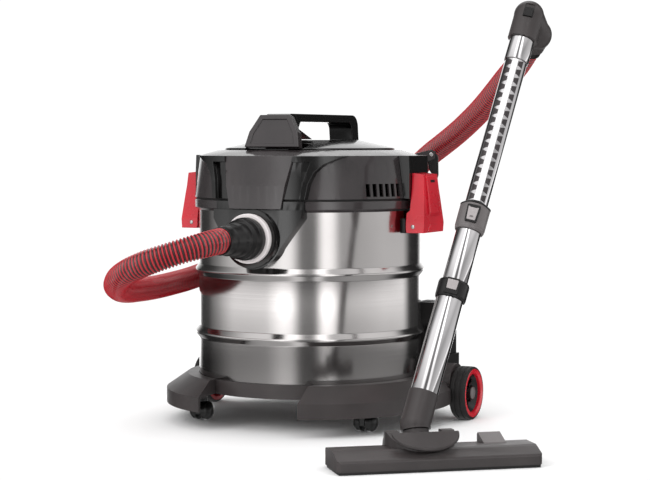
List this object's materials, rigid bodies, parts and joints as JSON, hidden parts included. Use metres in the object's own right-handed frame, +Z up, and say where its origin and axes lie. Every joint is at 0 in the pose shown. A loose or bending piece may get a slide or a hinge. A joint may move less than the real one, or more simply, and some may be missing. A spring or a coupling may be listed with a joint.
{
  "type": "shop vacuum",
  "caption": "Wet and dry shop vacuum: steel drum on a wheeled base, lift-off motor head with latches and handle, ribbed hose, telescopic wand and floor nozzle.",
  "frame": {"origin": "middle of the object's footprint, on the floor, leaving out the hose", "axes": "+Z up, -Y towards the front of the vacuum where the hose goes in, +Y towards the blower port, +X towards the vacuum's right wheel and the wand"},
  "size_m": [0.709, 0.6846, 0.6258],
  "materials": {
    "satin_dark": "satin moulded",
    "gloss_black": "gloss moulded",
    "gloss_grey": "gloss moulded",
    "black": "moulded",
    "stainless": "bright rolled",
    "chrome": "chromed",
    "red_plastic": "satin moulded",
    "red_hose": "ribbed",
    "white_plastic": "moulded",
    "grey_plastic": "moulded",
    "light_grey": "moulded",
    "tyre": "moulded",
    "rubber": "moulded",
    "steel": "machined",
    "copper": "wound",
    "paper": "pleated",
    "aluminium": "pressed"
  },
  "bodies": {
    "chassis": {"base": "satin_dark", "axle": "steel", "drum": "stainless", "collar": "gloss_grey", "apron": "gloss_black", "inlet_ring": "white_plastic", "inlet_elbow": "black", "latch_brackets": "black", "latch_pins": "steel", "tool_towers": "black", "hose": "red_hose"},
    "inlet_swivel": {"hose_cuff": "black"},
    "caster_left": {"fork_left": "black"},
    "caster_right": {"fork_right": "black"},
    "caster_roller_left": {"caster_wheels_left": "black"},
    "caster_roller_right": {"caster_wheels_right": "black"},
    "rear_wheel_left": {"wheel_left": "red_plastic", "tyre_left": "tyre"},
    "rear_wheel_right": {"wheel_right": "red_plastic", "tyre_right": "tyre"},
    "left_latch": {"latch_left": "red_plastic"},
    "right_latch": {"latch_right": "red_plastic"},
    "head": {"head_shell": "gloss_grey", "top_plate": "gloss_black", "motor_deck": "black", "gasket": "rubber", "window_panel": "gloss_grey", "front_frame": "gloss_black", "handle": "black", "handle_plate": "gloss_grey", "latch_towers": "gloss_black", "cord_gland": "rubber", "blower_port": "black", "motor_housing": "grey_plastic", "motor_stator": "copper", "bearings": "steel", "filter_cage": "black", "cartridge_filter": "paper", "filter_cap": "red_plastic", "head_screws": "steel"},
    "hook": {"cord_hook": "black"},
    "switch": {"power_switch": "red_plastic"},
    "rotor": {"armature": "copper", "impeller": "aluminium"},
    "float_ball": {"float": "white_plastic"},
    "wand_upper": {"grip": "satin_dark", "upper_tube": "chrome"},
    "hose_swivel": {"hose_end": "black"},
    "bleed": {"bleed_slider": "black"},
    "wand_lower": {"collar_lock": "grey_plastic", "middle_tube": "chrome", "coupling": "black", "lower_tube": "chrome", "neck_sleeve": "satin_dark"},
    "length_button": {"collar_button": "light_grey"},
    "release_button": {"coupling_button": "light_grey"},
    "neck_joint": {"neck": "satin_dark"},
    "nozzle": {"nozzle_body": "satin_dark", "nozzle_sole": "black"},
    "foot_pedal": {"pedal": "light_grey"}
  },
  "joints": [
    {"name": "head_lift", "type": "slide", "parent": "chassis", "child": "head", "axis": [0, 0, 1], "range_m": [0, 0.19]},
    {"name": "latch_left_hinge", "type": "hinge", "parent": "chassis", "child": "left_latch", "pos_m": [-0.307, 0.114, 0.299], "axis": [0, -1, 0], "range_deg": [0, 95]},
    {"name": "latch_right_hinge", "type": "hinge", "parent": "chassis", "child": "right_latch", "pos_m": [0.069, 0.114, 0.299], "axis": [0, 1, 0], "range_deg": [0, 95]},
    {"name": "inlet_turn", "type": "hinge", "parent": "chassis", "child": "inlet_swivel", "pos_m": [-0.119, -0.09, 0.285], "axis": [0, -1, 0], "continuous": true},
    {"name": "caster_left_turn", "type": "hinge", "parent": "chassis", "child": "caster_left", "pos_m": [-0.257, 0.012, 0.033], "axis": [0, 0, 1], "continuous": true},
    {"name": "caster_right_turn", "type": "hinge", "parent": "chassis", "child": "caster_right", "pos_m": [0.019, 0.012, 0.033], "axis": [0, 0, 1], "continuous": true},
    {"name": "caster_left_roll", "type": "hinge", "parent": "caster_left", "child": "caster_roller_left", "pos_m": [-0.257, 0.02, 0.0145], "axis": [1, 0, 0], "continuous": true},
    {"name": "caster_right_roll", "type": "hinge", "parent": "caster_right", "child": "caster_roller_right", "pos_m": [0.019, 0.02, 0.0145], "axis": [1, 0, 0], "continuous": true},
    {"name": "wheel_left_roll", "type": "hinge", "parent": "chassis", "child": "rear_wheel_left", "pos_m": [-0.3425, 0.202, 0.0405], "axis": [1, 0, 0], "continuous": true},
    {"name": "wheel_right_roll", "type": "hinge", "parent": "chassis", "child": "rear_wheel_right", "pos_m": [0.1045, 0.202, 0.0405], "axis": [1, 0, 0], "continuous": true},
    {"name": "cord_hook_turn", "type": "hinge", "parent": "head", "child": "hook", "pos_m": [0.04728, 0.1951, 0.405], "axis": [0.4384, -0.8988, 0], "range_deg": [0, 100]},
    {"name": "switch_rock", "type": "hinge", "parent": "head", "child": "switch", "pos_m": [-0.211, 0.212, 0.415], "axis": [1, 0, 0], "range_deg": [-6, 6]},
    {"name": "motor_spin", "type": "hinge", "parent": "head", "child": "rotor", "pos_m": [-0.119, 0.114, 0.37], "axis": [0, 0, 1], "continuous": true},
    {"name": "float_rise", "type": "slide", "parent": "head", "child": "float_ball", "axis": [0, 0, 1], "range_m": [0, 0.05]},
    {"name": "wand_lift", "type": "slide", "parent": "chassis", "child": "wand_upper", "axis": [0, 0, 1], "range_m": [0, 0.12]},
    {"name": "hose_end_turn", "type": "hinge", "parent": "wand_upper", "child": "hose_swivel", "pos_m": [0.24835, 0.10662, 0.5782], "axis": [-0.5996, 0.4551, -0.6583], "continuous": true},
    {"name": "bleed_slide", "type": "slide", "parent": "wand_upper", "child": "bleed", "axis": [0.0905, 0.4449, 0.891], "range_m": [0, 0.006]},
    {"name": "wand_length", "type": "slide", "parent": "wand_upper", "child": "wand_lower", "axis": [0.0905, 0.4449, 0.891], "range_m": [0, 0.18]},
    {"name": "length_button_push", "type": "slide", "parent": "wand_lower", "child": "length_button", "axis": [0.0905, 0.4449, 0.891], "range_m": [0, 0.005], "stiffness_N_per_m": 400},
    {"name": "release_button_push", "type": "slide", "parent": "wand_lower", "child": "release_button", "axis": [-0.3361, 0.8558, -0.3932], "range_m": [0, 0.0025], "stiffness_N_per_m": 400},
    {"name": "neck_turn", "type": "hinge", "parent": "wand_lower", "child": "neck_joint", "pos_m": [0.188, -0.19, 0.05], "axis": [-0.2253, 0.2724, 0.9354], "range_deg": [-90, 90]},
    {"name": "nozzle_tilt", "type": "hinge", "parent": "neck_joint", "child": "nozzle", "pos_m": [0.19474, -0.19815, 0.022], "axis": [0.7705, 0.6374, 0], "range_deg": [-15, 45]},
    {"name": "pedal_rock", "type": "hinge", "parent": "nozzle", "child": "foot_pedal", "pos_m": [0.28582, -0.15136, 0.023], "axis": [-0.7705, -0.6374, 0], "range_deg": [0, 6], "stiffness_Nm_per_rad": 0.5}
  ]
}
